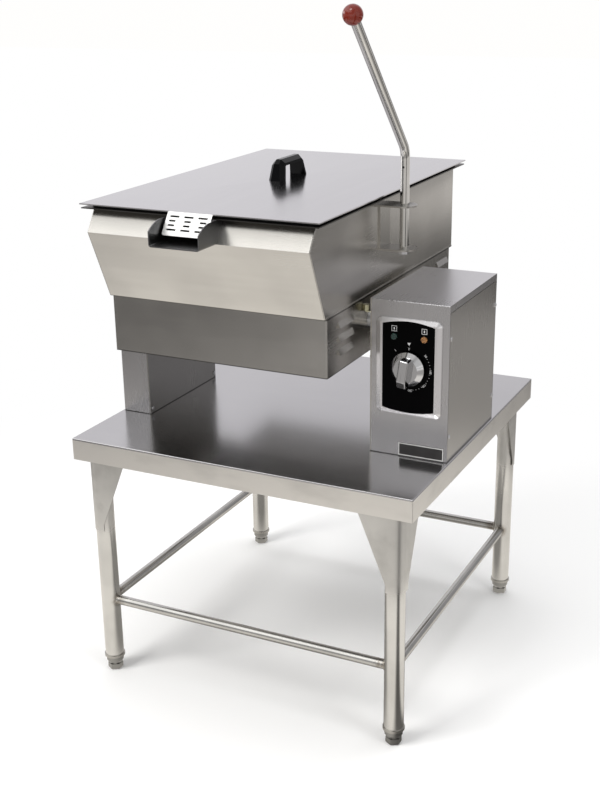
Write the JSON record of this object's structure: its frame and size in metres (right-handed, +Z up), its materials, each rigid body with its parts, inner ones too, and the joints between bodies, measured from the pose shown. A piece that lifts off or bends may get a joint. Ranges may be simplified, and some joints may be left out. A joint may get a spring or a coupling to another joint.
{
  "type": "tilting skillet",
  "caption": "Electric tilting skillet: sloped-front pan with lid, pouring spout and tilting lever between a pedestal and a control box, on an open tubular stand.",
  "frame": {"origin": "on the floor under the middle of the machine's bounding box", "axes": "+X to the machine's right seen from the front, +Y to the back, +Z up"},
  "size_m": [0.714, 0.797, 1.328],
  "materials": {
    "stainless_table": "brushed stainless sheet",
    "stainless_tube": "polished stainless tube",
    "stainless_casing": "brushed stainless sheet",
    "stainless_lid": "satin stainless sheet",
    "bright_steel": "bright stainless",
    "zinc_yellow": "yellow passivated zinc",
    "plate_steel": "ground steel plate",
    "bronze": "sintered bronze",
    "fascia_black": "gloss black",
    "knob_silver": "silver",
    "handle_black": "gloss black",
    "ball_red": "gloss red",
    "lens_green": "dark green lens",
    "lens_amber": "amber lens",
    "badge": "bare dark plate",
    "rubber": "black rubber",
    "silicone": "dark silicone",
    "moulding": "light moulding",
    "gland_black": "black nylon",
    "fibre": "ceramic fibre",
    "element": "heat-tinted tube"
  },
  "bodies": {
    "stand": {"table_top": "stainless_table", "leg_front_left": "stainless_tube", "gusset_front_left": "stainless_tube", "leg_front_right": "stainless_tube", "gusset_front_right": "stainless_tube", "leg_back_left": "stainless_tube", "gusset_back_left": "stainless_tube", "leg_back_right": "stainless_tube", "gusset_back_right": "stainless_tube", "foot_sockets": "stainless_tube", "rail_front": "stainless_tube", "rail_back": "stainless_tube", "rail_left": "stainless_tube", "rail_right": "stainless_tube", "pedestal_shell": "stainless_casing", "pedestal_inner_panel": "stainless_casing", "bearing_left": "bright_steel", "bearing_right": "bright_steel", "bush_left": "bronze", "bush_right": "bronze", "stand_bolts": "bright_steel", "rest_bar": "stainless_casing", "rest_buffers": "rubber", "box_wrapper": "stainless_casing", "box_left_panel": "stainless_casing", "box_right_cover": "stainless_casing", "panel_screws": "bright_steel", "fascia_plate": "fascia_black", "lamp_green": "lens_green", "lamp_amber": "lens_amber", "badge_plate": "badge", "thermostat_body": "moulding", "terminal_block": "moulding", "cable_gland": "gland_black"},
    "pan": {"pan_liner": "stainless_casing", "cooking_plate": "plate_steel", "pan_casing": "stainless_casing", "pan_spout": "stainless_casing", "base_box": "stainless_casing", "base_cover": "stainless_casing", "insulation_pad": "fibre", "heating_element": "element", "trunnion_left": "bright_steel", "trunnion_right": "bright_steel", "trunnion_lock_bolts": "zinc_yellow", "lever_bracket": "stainless_tube", "lever_tube": "stainless_tube", "lever_ball": "ball_red", "lever_bolt": "bright_steel"},
    "lid": {"lid_sheet": "stainless_lid", "lid_seal": "silicone", "lid_strainer": "stainless_lid", "lid_handle": "handle_black", "lid_handle_screws": "bright_steel"},
    "knob": {"thermostat_knob": "knob_silver", "thermostat_spindle": "bright_steel"},
    "foot_front_left_body": {"foot_front_left": "stainless_tube"},
    "foot_front_right_body": {"foot_front_right": "stainless_tube"},
    "foot_back_left_body": {"foot_back_left": "stainless_tube"},
    "foot_back_right_body": {"foot_back_right": "stainless_tube"}
  },
  "joints": [
    {"name": "pan_tilt", "type": "hinge", "parent": "stand", "child": "pan", "pos_m": [-0.0445, -0.1185, 0.772], "axis": [1, 0, 0], "range_deg": [0, 70]},
    {"name": "lid_lift", "type": "slide", "parent": "pan", "child": "lid", "axis": [0, 0, 1], "range_m": [0, 0.12]},
    {"name": "knob_turn", "type": "hinge", "parent": "stand", "child": "knob", "pos_m": [0.276, -0.1365, 0.6925], "axis": [0, 1, 0], "range_deg": [-188, 95]},
    {"name": "foot_front_left_screw", "type": "slide", "parent": "stand", "child": "foot_front_left_body", "axis": [0, 0, -1], "range_m": [0, 0.02]},
    {"name": "foot_front_right_screw", "type": "slide", "parent": "stand", "child": "foot_front_right_body", "axis": [0, 0, -1], "range_m": [0, 0.02]},
    {"name": "foot_back_left_screw", "type": "slide", "parent": "stand", "child": "foot_back_left_body", "axis": [0, 0, -1], "range_m": [0, 0.02]},
    {"name": "foot_back_right_screw", "type": "slide", "parent": "stand", "child": "foot_back_right_body", "axis": [0, 0, -1], "range_m": [0, 0.02]}
  ]
}
